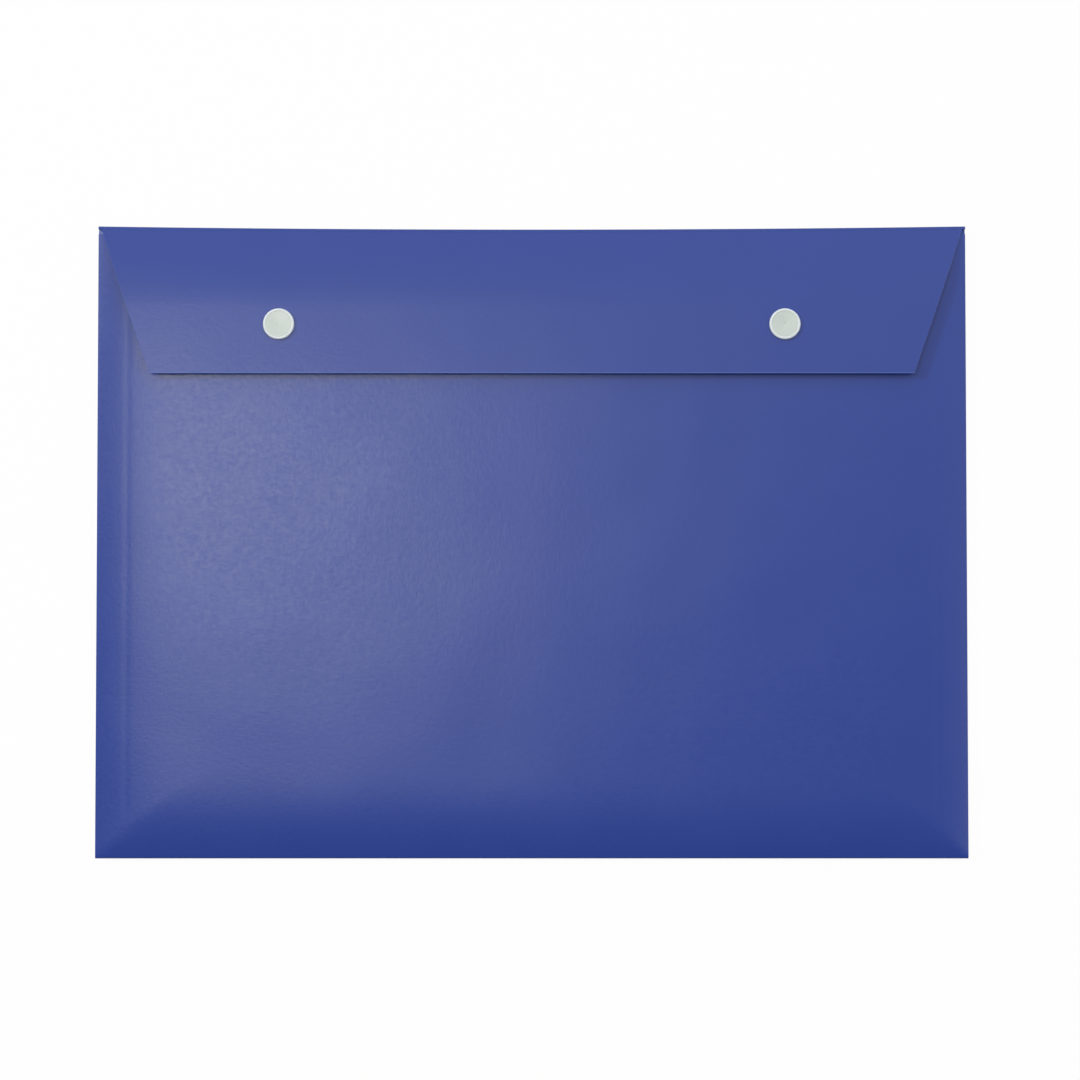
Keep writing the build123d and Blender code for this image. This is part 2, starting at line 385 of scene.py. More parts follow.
def soft_max(a: float, b: float, round_off: float) -> float:
    """Larger of two drops, with the crossing rounded where both have grown past the rounding itself.

    Args:
        a: One drop, not negative.
        b: The other.
        round_off: How wide the rounded crossing is.

    Returns:
        The rounded larger drop; exactly 0 where both are.
    """
    reach = round_off * smooth(0.0, 2 * round_off, max(a, b))
    if reach <= 0:
        return max(a, b)
    overlap = max(reach - abs(a - b), 0.0) / reach
    return max(a, b) + overlap * overlap * reach / 4


@dataclass(frozen=True)
class FoldCurve:
    """How a panel comes down from its flat middle to a fold, seen across the fold.

    Attributes:
        height: Height of the flat above the fold's centre.
        width: Distance in plan from the fold's centre to the edge of the flat.
        radius: The fold's radius to the same face of the sheet.
    """

    height: float
    width: float
    radius: float

    @property
    def slope(self) -> float:
        """Angle at which the panel meets the fold, in radians."""
        raise NotImplementedError

    @property
    def start(self) -> float:
        """Distance from the fold's centre at which the panel begins; it is negative."""
        return -self.radius * sin(self.slope)


@dataclass(frozen=True)
class HeldCurve(FoldCurve):
    """Curve of a panel that is held straight beside its fold, and bends from there in one arc.

    Attributes:
        run: The straight length.
    """

    run: float

    @property
    def slope(self) -> float:
        """Angle at which the panel meets the fold, in radians."""
        return 2 * atan((self.height - self.radius) / (self.width + self.run))

    @property
    def bend(self) -> float:
        """Radius of the arc between the straight run and the flat."""
        fall = self.height - self.radius * cos(self.slope) - self.run * sin(self.slope)
        return fall / (1 - cos(self.slope))

    def drop(self, distance: float) -> float:
        """How far the face lies below the flat, at a distance in plan from the fold's centre."""
        if distance >= self.width:
            return 0.0
        run_end = self.start + self.run * cos(self.slope)
        if distance >= run_end:
            return self.bend - sqrt(self.bend**2 - (self.width - distance) ** 2)
        base = self.radius * cos(self.slope)
        return self.height - base - (distance - self.start) * tan(self.slope)


@dataclass(frozen=True)
class EasedCurve(FoldCurve):
    """Curve of a panel that nothing holds straight: the further out, the steeper.

    Attributes:
        power: How late the curve sets in.
    """

    power: float

    @property
    def slope(self) -> float:
        """Angle at which the panel meets the fold, in radians."""
        slope = 0.0
        for _ in range(SETTLING_STEPS):
            fall = self.height - self.radius * cos(slope)
            slope = atan(self.power * fall / (self.width + self.radius * sin(slope)))
        return slope

    def drop(self, distance: float) -> float:
        """How far the face lies below the flat, at a distance in plan from the fold's centre."""
        fall = self.height - self.radius * cos(self.slope)
        if distance < self.start:
            return fall + (self.start - distance) * tan(self.slope)
        return fall * max((self.width - distance) / (self.width - self.start), 0.0) ** self.power


def stations(marks: Sequence[float], counts: Sequence[int]) -> list[float]:
    """Stations along a line, evenly spaced between marks.

    Args:
        marks: Places that each get a station.
        counts: Steps from each mark to the next.

    Returns:
        All stations, from the first mark to the last.
    """
    places = [marks[0]]
    for low, high, count in zip(marks, marks[1:], counts):
        places += [low + (high - low) * (i + 1) / count for i in range(count)]
    return places


def sheet_grid(shares: Sequence[float], rows: int, form: Callable[[float, int], Vector]) -> BMesh:
    """Grid of quads, drawn to a form.

    Args:
        shares: Stations across, from -1 to 1.
        rows: Faces along.
        form: Gives a point's place from its station and its row.

    Returns:
        The open surface. Its faces point up where rows run along +Y.
    """
    bm = bmesh.new()
    columns = len(shares) - 1
    bmesh.ops.create_grid(bm, x_segments=columns, y_segments=rows, size=1.0)
    for vert in bm.verts:
        column = round((vert.co.x + 1) / 2 * columns)
        vert.co = form(shares[column], round((vert.co.y + 1) / 2 * rows))
    bm.normal_update()
    return bm


def break_edges(bm: BMesh, edges: list[BMEdge], width: float, segments: int) -> list[BMFace]:
    """Round edges.

    Args:
        bm: The shape.
        edges: Its edges to round.
        width: How far the rounding reaches from an edge.
        segments: Faces across it.

    Returns:
        The new faces.
    """
    rounded = bmesh.ops.bevel(
        bm, geom=edges, offset=width, offset_type="OFFSET", segments=segments,
        profile=0.5, affect="EDGES", material=-1,
    )
    return rounded["faces"]


def thicken(bm: BMesh, thickness: float, edge_round: float) -> None:
    """Give an open surface its thickness, inwards, and break the sharp cut edges.

    Args:
        bm: The surface; its faces point outwards.
        thickness: The sheet's thickness.
        edge_round: Width of the broken edge.
    """
    # Mark the cut faces and broken edges for the material's paler colour, partly the cut's whitening and
    # partly painted highlight.
    worked = bm.faces.layers.float.new("worked")
    outer = set(bm.faces)
    bmesh.ops.solidify(bm, geom=bm.faces[:], thickness=thickness)
    bm.normal_update()
    sharp = [e for e in bm.edges if e.calc_face_angle(0.0) > SHARP_EDGE]
    for face in bm.faces:
        cut = sum(edge.calc_face_angle(0.0) > SHARP_EDGE for edge in face.edges) >= 2
        face[worked] = float(cut and face not in outer)
    if edge_round > 0:
        for face in break_edges(bm, sharp, edge_round, 1):
            face[worked] = 1.0


def turned(profile: Sequence[tuple[float, float]]) -> BMesh:
    """Closed solid spun about Z.

    Args:
        profile: Points of radius and height, from the axis or round a ring.

    Returns:
        The spun shape, its doubles merged and its normals outwards.
    """
    bm = bmesh.new()
    verts = [bm.verts.new((radius, 0.0, height)) for radius, height in profile]
    edges = [bm.edges.new(pair) for pair in zip(verts, verts[1:])]
    if profile[0][0] > 0:
        edges.append(bm.edges.new((verts[-1], verts[0])))
    geom, axis, centre = verts + edges, (0, 0, 1), (0, 0, 0)
    bmesh.ops.spin(bm, geom=geom, axis=axis, cent=centre, steps=ROUND_STEPS, angle=tau, use_merge=True)
    bmesh.ops.remove_doubles(bm, verts=bm.verts[:], dist=MERGE)
    bmesh.ops.recalc_face_normals(bm, faces=bm.faces[:])
    return bm


def soften_rings(bm: BMesh, rings: Sequence[tuple[float, float, float, int]]) -> None:
    """Round rings of a spun shape.

    Args:
        bm: The shape.
        rings: Each ring's radius and height, the width of its rounding and the faces across that.
    """
    for radius, height, width, segments in rings:
        on_ring = {
            vert
            for vert in bm.verts
            if abs(hypot(*vert.co.xy) - radius) < SAME_PLACE and abs(vert.co.z - height) < SAME_PLACE
        }
        break_edges(bm, [e for e in bm.edges if on_ring.issuperset(e.verts)], width, segments)


def facing(place: Vector, aim: Vector) -> Matrix:
    """Placement of a lamp or camera that looks from a place to an aim, with +Y up in its view."""
    return Matrix.Translation(place) @ (aim - place).to_track_quat("-Z", "Y").to_matrix().to_4x4()


def add_object(name: str, data: ID, at: Matrix) -> Object:
    """Put a mesh, a lamp or a camera into the scene.

    Args:
        name: The object's name.
        data: What it shows.
        at: Its placement.

    Returns:
        The new object.
    """
    item = bpy.data.objects.new(name, data)
    item.matrix_world = at
    bpy.context.scene.collection.objects.link(item)
    return item


def loose_object(name: str, bm: BMesh) -> Object:
    """Put a shape into the scene as a plain object, and free it."""
    mesh = bpy.data.meshes.new(name)
    bm.to_mesh(mesh)
    bm.free()
    return add_object(name, mesh, Matrix())


def make_piece(name: str, bm: BMesh, material: Material, stands_for: Sequence[str]) -> Object:
    """Turn a mesh into a piece of the wallet.

    Args:
        name: The piece's name.
        bm: Its mesh, in place; it is freed.
        material: Its material.
        stands_for: CAD nodes that it replaces.

    Returns:
        The new object.
    """
    piece = loose_object(name, bm)
    mesh = piece.data
    for polygon in mesh.polygons:
        polygon.use_smooth = True
    mesh.set_sharp_from_angle(angle=CRISP_EDGE)
    mesh.materials.append(material)
    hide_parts(*stands_for)
    LOG.info("%s: %d faces, stands for %s", name, len(mesh.polygons), ", ".join(stands_for))
    return piece


# ---- The folded sheet ----


@dataclass
class WalletForm:
    """Sizes of the folded sheet, read from the frame, and the curves that its panels follow.

    Attributes:
        bottom_curve: Plan width of both panels' curve at the bottom fold.
        bottom_power: How late that curve sets in.
        side_curve: Plan width of the back panel's curve at the side folds.
        side_ease: Plan width of the front panel's curve there.
        side_power: How late that curve sets in.
        crease_curve: Plan width of the back panel's curve at the flap's crease.
        flap_curve: Plan width of the flap's curve there.
        crease_land: Straight length of sheet on each side of the crease's bend.
        tab_bottom: How far a tab's fold ends short of the bottom edge.
        tab_top: How far a tab's fold ends short of the top edge.
        back_side_run: Straight length of the back panel beside a side fold.
        groove: Depth of the soft line that the hidden tab's edge presses into the front.
        groove_end: How far from the wallet's ends the line has died away.
        groove_full: How far from the bottom and from the top it has its full depth.
        flap_tilt: Angle at which the shut flap rises to its free edge, about its studs, in radians.
        top_bow: How far the crease draws in towards its middle.
        mitre_round: Width of the rounding where two curves cross.
        side_band: Width of the outermost column.
        groove_band: Half width of the close columns over the groove.
        column_counts: Columns from the middle to the side's curve, to the groove, over it and outwards.
    """

    sheet: float = 0.5 * MM
    fold_inner: float = 0.4 * MM
    bottom_curve: float = 34 * MM
    bottom_power: float = 3.0
    side_curve: float = 24 * MM
    side_ease: float = 50 * MM
    side_power: float = 4.0
    crease_curve: float = 20 * MM
    flap_curve: float = 31 * MM
    crease_land: float = 0.5 * MM
    tab_width: float = 11 * MM
    tab_bottom: float = 3.6 * MM
    tab_top: float = 1.5 * MM
    back_side_run: float = 6 * MM
    groove: float = 0.04 * MM
    groove_width: float = 1.3 * MM
    groove_end: float = 9 * MM
    groove_full: tuple[float, float] = (22 * MM, 20 * MM)
    flap_tilt: float = radians(2.3)
    top_bow: float = 1.2 * MM
    mitre_round: float = 0.5 * MM
    edge_round: float = 0.10 * MM
    side_band: float = 1.2 * MM
    groove_band: float = 3 * MM
    column_counts: tuple[int, ...] = (20, 18, 14, 8)

    def __post_init__(self) -> None:
        """Read the overall sizes from the frame and settle the panels' curves."""
        low, high = CAD_BOX
        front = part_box("front_panel")
        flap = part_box("flap")
        self.half_width = (high[0] - low[0]) / 2
        self.half_length = (high[1] - low[1]) / 2
        self.pocket_top = front[1].z
        self.middle = front[1].z / 2
        self.flap_top = flap[1].z
        self.flap_free_y = flap[0].y
        self.fold = self.fold_inner + self.sheet
        self.side_x = self.half_width - self.fold
        self.bottom_y = -self.half_length + self.fold
        self.crease_y = self.half_length - self.fold
        self.flat_y = self.crease_y - self.flap_curve
        self.stud_y = sum(corner.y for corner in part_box("flap_cap_left")) / 2
        self.bottom = EasedCurve(self.middle, self.bottom_curve, self.fold, self.bottom_power)
        self.crease_back = HeldCurve(self.middle, self.crease_curve, self.fold, self.crease_land)
        front_height, front_fold = self.middle + self.sheet, self.fold + self.sheet
        self.front_side = EasedCurve(front_height, self.side_ease, front_fold, self.side_power)
        self.back_side = HeldCurve(self.middle - self.sheet, self.side_curve, self.fold, self.back_side_run)
        self.flap_slope = self._settle_flap()
        self.mouth_y = front[1].y
        self.tab_low = -self.half_length + self.tab_bottom
        self.tab_high = self.half_length - self.tab_top

    def flap_end(self, slope: float) -> tuple[float, float]:
        """Where the flap meets the crease strip, as Y and height above the middle, for its slope there."""
        out, up = sin(slope), cos(slope)
        y = self.crease_y + self.fold * out - self.crease_land * up
        return y, self.fold * up + self.crease_land * out

    def _settle_flap(self) -> float:
        """Slope at which the flap, a parabola past its flat part, meets the crease strip."""
        slope = 0.0
        for _ in range(SETTLING_STEPS):
            y, height = self.flap_end(slope)
            fall = self.flap_height(self.flat_y) - height
            slope = atan(2 * fall / (y - self.flat_y) - tan(self.flap_tilt))
        return slope

    def flap_height(self, y: float) -> float:
        """Height of the flap's upper face above the middle."""
        height = self.flap_top - self.middle - (y - self.stud_y) * tan(self.flap_tilt)
        if y <= self.flat_y:
            return height
        run = self.flap_end(self.flap_slope)[0] - self.flat_y
        gain = (tan(self.flap_slope) - tan(self.flap_tilt)) / run
        return height - gain * (y - self.flat_y) ** 2 / 2

    def bow(self, x: float, y: float) -> float:
        """How far a point near the crease is drawn in towards the middle of the wallet."""
        share = 1 - (x / self.half_width) ** 2
        return self.top_bow * share * smooth(self.flat_y, self.half_length, y)

    def front_drop(self, x: float, y: float) -> float:
        """Depth of the front panel's face below the top of the pocket."""
        across = self.front_side.drop(self.side_x - abs(x))
        along = self.bottom.drop(y - self.bottom_y)
        return soft_max(across, along, self.mitre_round) + self._groove_at(x, y)

    def _groove_at(self, x: float, y: float) -> float:
        """Depth of the line that the tab's inner edge presses into the front."""
        edge = self.side_x - self.tab_width * cos(self.front_side.slope)
        away = (abs(x) - edge) / self.groove_width
        low, high = self.groove_full
        ends = smooth(self.groove_end, low, y - self.bottom_y)
        ends *= smooth(self.groove_end, high, self.half_length - y)
        return self.groove * exp(-away * away) * ends

    def back_drop(self, x: float, y: float) -> float:
        """Height of the back panel's face above the surface it lies on."""
        across = self.back_side.drop(self.side_x - abs(x))
        along = max(self.bottom.drop(y - self.bottom_y), self.crease_back.drop(self.crease_y - y))
        return soft_max(across, along, self.mitre_round)

    def columns(self) -> list[float]:
        """Stations across the wallet, close together at the sides and closest over the tabs' edges.

        Returns:
            Shares of the half width, from -1 to 1.
        """
        groove, band = self.side_x - self.tab_width, self.groove_band
        outer = self.half_width - self.side_band
        marks = (0.0, self.side_x - self.side_ease, groove - band, groove + band, outer)
        half = stations(marks, self.column_counts) + [self.half_width]
        return [-x / self.half_width for x in reversed(half[1:])] + [x / self.half_width for x in half]


@dataclass
class PocketSheet:
    """Back panel, bottom fold and front panel: one sheet, from the flap's crease round to the pocket's mouth.

    Attributes:
        mouth_rows: Faces between the last straight row of the front and the mouth's outline.
        mouth_low: How far the middle of the mouth lies below the top edge.
        mouth_round: Radius of the mouth's two inner corners.
        shoulder_width: Width of the level top of each shoulder.
        tab_step: Length of the step in the back panel's sides where a tab ends.
        straight_end: How far below the mouth's top the last straight row of the front lies.
        back_counts: Rows of the back panel between its marks, from the crease down.
        front_counts: Rows of the front panel in the bottom curve, and from there to the last straight one.
    """

    form: WalletForm
    fold_rows: int = 10
    mouth_rows: int = 14
    mouth_low: float = 20 * MM
    mouth_round: float = 9 * MM
    shoulder_width: float = 1 * MM
    tab_step: float = 0.05 * MM
    straight_end: float = 32 * MM
    back_counts: tuple[int, ...] = (2, 1, 16, 26, 28, 1, 3)
    front_counts: tuple[int, ...] = (42, 28)

    def mouth(self, x: float) -> float:
        """Where the front panel ends: low in the middle, with a mitred shoulder at each side."""
        form = self.form
        low = form.half_length - self.mouth_low
        corner = form.half_width - self.shoulder_width - (form.mouth_y - low)
        start = corner - self.mouth_round * tan(pi / 8)
        along = abs(x) - start
        if along <= 0:
            return low
        if along < self.mouth_round * sin(pi / 4):
            return low + self.mouth_round - sqrt(self.mouth_round**2 - along**2)
        return min(low + abs(x) - corner, form.mouth_y)

    def back_stations(self) -> list[float]:
        """Rows of the back panel, from the crease down, with a step at each end of the tabs."""
        form = self.form
        top = form.crease_y - form.crease_back.start - form.crease_land * cos(form.crease_back.slope)
        high, low, end = form.tab_high, form.tab_low, form.bottom_y + form.bottom.start
        curves = (form.crease_y - form.crease_curve, form.bottom_y + form.bottom_curve)
        marks = (top, high, high - self.tab_step, *curves, low + self.tab_step, low, end)
        return stations(marks, self.back_counts)

    def front_stations(self) -> list[float]:
        """Rows of the front panel, from the bottom fold up to the last one that is straight."""
        form = self.form
        start, curve = form.bottom_y + form.bottom.start, form.bottom_y + form.bottom_curve
        return stations((start, curve, form.mouth_y - self.straight_end), self.front_counts)

    def back_point(self, share: float, y: float) -> Vector:
        """Place of a point on the back panel, which ends at the side folds as far as the tabs reach."""
        form = self.form
        x = share * form.half_width
        if form.tab_low < y < form.tab_high:
            reach = form.side_x - form.back_side.start
            x = min(max(x, -reach), reach)
        return Vector((x, y - form.bow(x, y), form.back_drop(x, y)))

    def fold_point(self, x: float, share: float) -> Vector:
        """Place of a point on the bottom fold, from its share of the way round to the front."""
        form = self.form
        angle = -pi / 2 - form.bottom.slope - (pi - 2 * form.bottom.slope) * share
        y, height = form.bottom_y + form.fold * cos(angle), form.fold * sin(angle)
        curve = form.back_side if height < 0 else form.front_side
        drop = soft_max(curve.drop(form.side_x - abs(x)), form.middle - abs(height), form.mitre_round)
        return Vector((x, y, form.middle + copysign(form.middle - drop, height)))

    def build(self, material: Material) -> None:
        """Build the sheet and let it ride on the pocket."""
        form = self.form
        back, front = self.back_stations(), self.front_stations()
        past_fold = len(back) + self.fold_rows - 1

        def point(share: float, row: int) -> Vector:
            """Place of a point on the outer face, by its row from the crease round to the mouth."""
            x = share * form.half_width
            if row < len(back):
                return self.back_point(share, back[row])
            if row < past_fold:
                return self.fold_point(x, (row - len(back) + 1) / self.fold_rows)
            past_straight = row - past_fold - len(front) + 1
            if past_straight <= 0:
                y = front[row - past_fold]
            else:
                y = front[-1] + (self.mouth(x) - front[-1]) * past_straight / self.mouth_rows
            return Vector((x, y, form.pocket_top - form.front_drop(x, y)))

        rows = past_fold + len(front) - 1 + self.mouth_rows
        bm = sheet_grid(form.columns(), rows, point)
        thicken(bm, form.sheet, form.edge_round)
        nodes = ("back_panel", "bottom_fold", "front_panel")
        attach(make_piece("pocket_sheet", bm, material, nodes), Body.POCKET.value)


@dataclass
class SideTab:
    """Fold at one side and the tab that it carries under the front panel."""

    form: WalletForm
    side: Side
    fold_rows: int = 10
    tab_rows: int = 6
    length_columns: int = 60

    def section(self, row: int) -> tuple[float, float]:
        """Distance outwards from the fold's centre, and height above the middle, of a row round the fold."""
        form = self.form
        turn = pi - form.back_side.slope - form.front_side.slope
        angle = -pi / 2 + form.back_side.slope + turn * min(row / self.fold_rows, 1.0)
        out, height = form.fold * cos(angle), form.fold * sin(angle) - form.sheet
        if row > self.fold_rows:
            slope = form.front_side.slope
            out -= form.tab_width * (row - self.fold_rows) / self.tab_rows * cos(slope)
            height = form.middle - form.front_side.drop(-out) - form.sheet / cos(slope)
        return out, height

    def point(self, share: float, row: int) -> Vector:
        """Place of a point on the tab's outer face; the tab's ends are mitred."""
        form = self.form
        out, height = self.section(row)
        mitre = max(-out, 0.0)
        low, high = form.tab_low + mitre, form.tab_high - mitre
        y = low + (high - low) * (share * self.side.value + 1) / 2
        return Vector((self.side.value * (form.side_x + out), y, form.middle + height))

    def build(self, material: Material) -> None:
        """Build the tab and let it ride on the pocket."""
        shares = stations((-1.0, 1.0), (self.length_columns,))
        bm = sheet_grid(shares, self.fold_rows + self.tab_rows, self.point)
        thicken(bm, self.form.sheet, self.form.edge_round)
        name = f"side_tab_{self.side.label}"
        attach(make_piece(f"{name}_sheet", bm, material, [name]), Body.POCKET.value)


@dataclass
class FlapSheet:
    """The flap, tapered to its free edge and curved down to its crease.

    Attributes:
        corner_rows: Faces along the rounding of the free corners.
        flat_rows: Faces from the free edge to the end of the flat part.
        curved_rows: Faces from there to the crease.
        root_inset: How far the flap begins inside the wallet's sides.
        taper: How far each side has come in at the free edge.
        corner: Radius of the free corners.
        whitening_and_highlight_band: Width of the pale band along the free edge: partly the whitening a
            cutting die leaves, partly painted highlight.
        whitening_and_highlight_paleness: How far that band tends to the cut edges' paler, partly
            painted-highlight colour.
    """

    form: WalletForm
    corner_rows: int = 2
    flat_rows: int = 15
    curved_rows: int = 24
    root_inset: float = 0.8 * MM
    taper: float = 19.6 * MM
    corner: float = 0.5 * MM
    whitening_and_highlight_band: float = 0.4 * MM
    whitening_and_highlight_paleness: float = 0.45

    def half_width(self, y: float) -> float:
        """Half the flap's width at a distance up the sheet, less its rounded free corners."""
        form = self.form
        share = (form.half_length - y) / (form.half_length - form.flap_free_y)
        width = form.half_width - self.root_inset - self.taper * share
        from_edge = y - form.flap_free_y
        if from_edge < self.corner:
            width -= self.corner - sqrt(max(self.corner**2 - (self.corner - from_edge) ** 2, 0.0))
        return width

    def row_y(self, row: int) -> float:
        """How far up the sheet a row lies; the first rows are close together, for the rounded corners."""
        form = self.form
        if row <= self.corner_rows:
            return form.flap_free_y + self.corner * (1 - cos(row / self.corner_rows * pi / 2))
        if row <= self.flat_rows:
            share = (row - self.corner_rows) / (self.flat_rows - self.corner_rows)
            first = form.flap_free_y + self.corner
            return first + (form.flat_y - first) * share
        end = form.flap_end(form.flap_slope)[0]
        return form.flat_y + (end - form.flat_y) * (row - self.flat_rows) / self.curved_rows

    def point(self, share: float, row: int) -> Vector:
        """Place of a point on the flap's upper face."""
        form = self.form
        y = self.row_y(row)
        x = share * self.half_width(y)
        return Vector((x, y - form.bow(x, y), form.middle + form.flap_height(y)))

    def build(self, material: Material) -> None:
        """Build the flap and let it ride on its own body."""
        form = self.form
        bm = sheet_grid(form.columns(), self.flat_rows + self.curved_rows, self.point)
        thicken(bm, form.sheet, form.edge_round)
        # Painted highlight: a pale band along the free edge, where the edge catches light, partly also the
        # whitening of the cutting die.
        worked = bm.faces.layers.float["worked"]
        for face in bm.faces:
            if face.calc_center_median().y < form.flap_free_y + self.whitening_and_highlight_band:
                face[worked] = max(face[worked], self.whitening_and_highlight_paleness)
        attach(make_piece("flap_sheet", bm, material, ["flap"]), Body.FLAP.value)


@dataclass
class CreaseStrip:
    """The living hinge: a narrow bend that joins the back panel to the flap and flexes as the flap opens."""

    form: WalletForm
    land_rows: int = 2
    bend_rows: int = 12

    def section(self, row: int) -> tuple[float, float]:
        """Distance up the sheet from the hinge's axis, and height above it, of a row round the bend."""
        form = self.form
        turn = pi - form.crease_back.slope - form.flap_slope
        share = min(max((row - self.land_rows) / self.bend_rows, 0.0), 1.0)
        angle = -pi / 2 + form.crease_back.slope + turn * share
        y, z = form.fold * cos(angle), form.fold * sin(angle)
        if row < self.land_rows:
            back = form.crease_land * (1 - row / self.land_rows)
            return y - back * cos(form.crease_back.slope), z - back * sin(form.crease_back.slope)
        past = form.crease_land * max(row - self.land_rows - self.bend_rows, 0) / self.land_rows
        return y - past * cos(form.flap_slope), z + past * sin(form.flap_slope)

    def point(self, share: float, row: int) -> Vector:
        """Place of a point on the bend's outer face."""
        form = self.form
        x = -share * form.half_width
        y, z = self.section(row)
        y += form.crease_y
        return Vector((x, y - form.bow(x, y), form.middle + z))

    def build(self, material: Material) -> None:
        """Build the strip and blend it from the pocket to the flap."""
        form = self.form
        bm = sheet_grid(form.columns(), 2 * self.land_rows + self.bend_rows, self.point)
        thicken(bm, form.sheet, 0.0)
        piece = make_piece("crease_strip", bm, material, ["flap_crease"])
        low = form.middle - form.fold_inner * cos(form.crease_back.slope)
        high = form.middle + form.fold_inner * cos(form.flap_slope)
        start, end = (0.0, form.crease_y, low), (0.0, form.crease_y, high)
        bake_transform(piece, Body.POCKET.value, Body.FLAP.value, start=start, end=end)


# ---- The press studs ----


@dataclass
class PressStud:
    """One press stud: cap and socket on the flap, knob and inner cap on the front panel.

    Attributes:
        gate_mark: Diameter of the moulding's mark in the middle of a cap.
        recess: Depth of the cap's flat middle below its rim.
        lip: How far each step of the socket's lip and the knob's neck stands out.
        soften: Width of the small rounded edges.
    """

    form: WalletForm
    side: Side
    cap_diameter: float = 11.8 * MM
    cap_height: float = 1.4 * MM
    inner_cap_height: float = 0.9 * MM
    cap_edge: float = 0.6 * MM
    cap_rim: float = 0.95 * MM
    recess: float = 0.15 * MM
    gate_mark: float = 1.0 * MM
    gate_depth: float = 0.1 * MM
    flange_diameter: float = 9.6 * MM
    flange_thickness: float = 0.7 * MM
    web: float = 0.45 * MM
    knob_diameter: float = 4.8 * MM
    knob_height: float = 1.1 * MM
    knob_wall: float = 0.5 * MM
    neck: float = 0.2 * MM
    socket_height: float = 1.5 * MM
    socket_clearance: float = 0.35 * MM
    lip: float = 0.15 * MM
    slit: float = 0.5 * MM
    slits: int = 4
    post_diameter: float = 2.6 * MM
    post_clearance: float = 0.1 * MM
    rivet_diameter: float = 3.1 * MM
    rivet_height: float = 0.45 * MM
    soften: float = 0.07 * MM

    def cap_shape(self, height: float) -> BMesh:
        """Cap with a raised rim and a gate mark, on the sheet at 0, with its post and rivet head under it.

        Args:
            height: Height of its rim.

        Returns:
            The cap's mesh, with the rim marked.
        """
        radius, post, rivet = self.cap_diameter / 2, self.post_diameter / 2, self.rivet_diameter / 2
        floor, mark = height - self.recess, self.gate_mark / 2
        grip = self.form.sheet + self.web
        rivet_low = -grip - self.rivet_height
        bm = turned((
            (0, floor - self.gate_depth), (mark - self.gate_depth, floor - self.gate_depth), (mark, floor),
            (radius - self.cap_rim, floor), (radius - self.cap_rim + self.recess, height),
            (radius, height), (radius, 0), (post, 0), (post, -grip), (rivet, -grip),
            (rivet, -grip - self.rivet_height / 2), (post, rivet_low), (0, rivet_low),
        ))
        soften_rings(bm, (
            (radius, height, self.cap_edge, 8),
            (radius - self.cap_rim + self.recess, height, self.soften * 2, 3),
            (radius - self.cap_rim, floor, self.soften * 2, 3),
            (mark, floor, self.gate_depth / 2, 2),
            (radius, 0, self.soften, 2),
            (rivet, -grip - self.rivet_height / 2, self.soften, 2),
        ))
        # Mark the rim, which the material paints paler and bluer, partly as painted highlight and reflection.
        rim = bm.verts.layers.float.new("rim")
        for vert in bm.verts:
            inner = hypot(*vert.co.xy) - radius + self.cap_rim
            vert[rim] = smooth(-self.recess, 2 * self.recess, inner)
        return bm

    def knob_shape(self) -> BMesh:
        """Flange on the front panel at 0, with its hollow knob and the bead round the knob's top."""
        hole = self.post_diameter / 2 + self.post_clearance
        flange, knob = self.flange_diameter / 2, self.knob_diameter / 2
        neck, hollow = knob - self.neck, knob - self.knob_wall
        top = self.flange_thickness + self.knob_height
        bm = turned((
            (hole, 0), (flange, 0), (flange, self.flange_thickness), (neck, self.flange_thickness),
            (neck, top - 3 * self.neck), (knob, top - 2 * self.neck), (knob, top - self.neck),
            (neck, top), (hollow, top), (hollow, self.web), (hole, self.web),
        ))
        soften_rings(bm, (
            (flange, self.flange_thickness, self.neck, 3),
            (neck, self.flange_thickness, self.soften, 2),
            (knob, top - 2 * self.neck, self.soften, 2),
            (knob, top - self.neck, self.soften, 2),
            (hollow, top, self.soften, 2),
        ))
        return bm

    def socket_shape(self) -> BMesh:
        """Ring under the flap at 0, with a lip round its mouth and a web with the post's hole at its top."""
        hole = self.post_diameter / 2 + self.post_clearance
        ring, lip = self.flange_diameter / 2, self.knob_diameter / 2 + self.socket_clearance
        low = -self.socket_height
        bm = turned((
            (hole, 0), (ring, 0), (ring, low), (lip + 2 * self.lip, low), (lip, low + 2 * self.lip),
            (lip, low + 3 * self.lip), (lip + self.lip, low + 4 * self.lip),
            (lip + self.lip, -self.web), (hole, -self.web),
        ))
        soften_rings(bm, ((ring, low, self.neck, 3), (lip + 2 * self.lip, low, self.soften, 2)))
        return bm

    def cut_slits(self, bm: BMesh) -> BMesh:
        """Cut the slits that let the socket's lip spread.

        Args:
            bm: The whole socket; it is freed.

        Returns:
            The socket with its slits.
        """
        ring, lip = self.flange_diameter / 2, self.knob_diameter / 2 + self.socket_clearance
        depth = self.socket_height - self.web
        size = Matrix.Diagonal((ring - lip, self.slit, 2 * depth, 1.0))
        at = Matrix.Translation(((ring + lip) / 2 - self.lip, 0.0, -self.socket_height))
        blades = bmesh.new()
        for number in range(self.slits):
            turn = Matrix.Rotation((number + 0.5) * tau / self.slits, 4, "Z")
            bmesh.ops.create_cube(blades, size=1.0, matrix=turn @ at @ size)
        whole, cutter = loose_object("socket_whole", bm), loose_object("socket_blades", blades)
        cut = whole.modifiers.new("slits", "BOOLEAN")
        cut.object = cutter
        cut.operation = "DIFFERENCE"
        cut.solver = "EXACT"
        evaluated = whole.evaluated_get(bpy.context.evaluated_depsgraph_get())
        result = bmesh.new()
        result.from_mesh(evaluated.to_mesh())
        evaluated.to_mesh_clear()
        bpy.data.batch_remove((whole, cutter, whole.data, cutter.data))
        bmesh.ops.remove_doubles(result, verts=result.verts[:], dist=MERGE)
        bmesh.ops.recalc_face_normals(result, faces=result.faces[:])
        return result

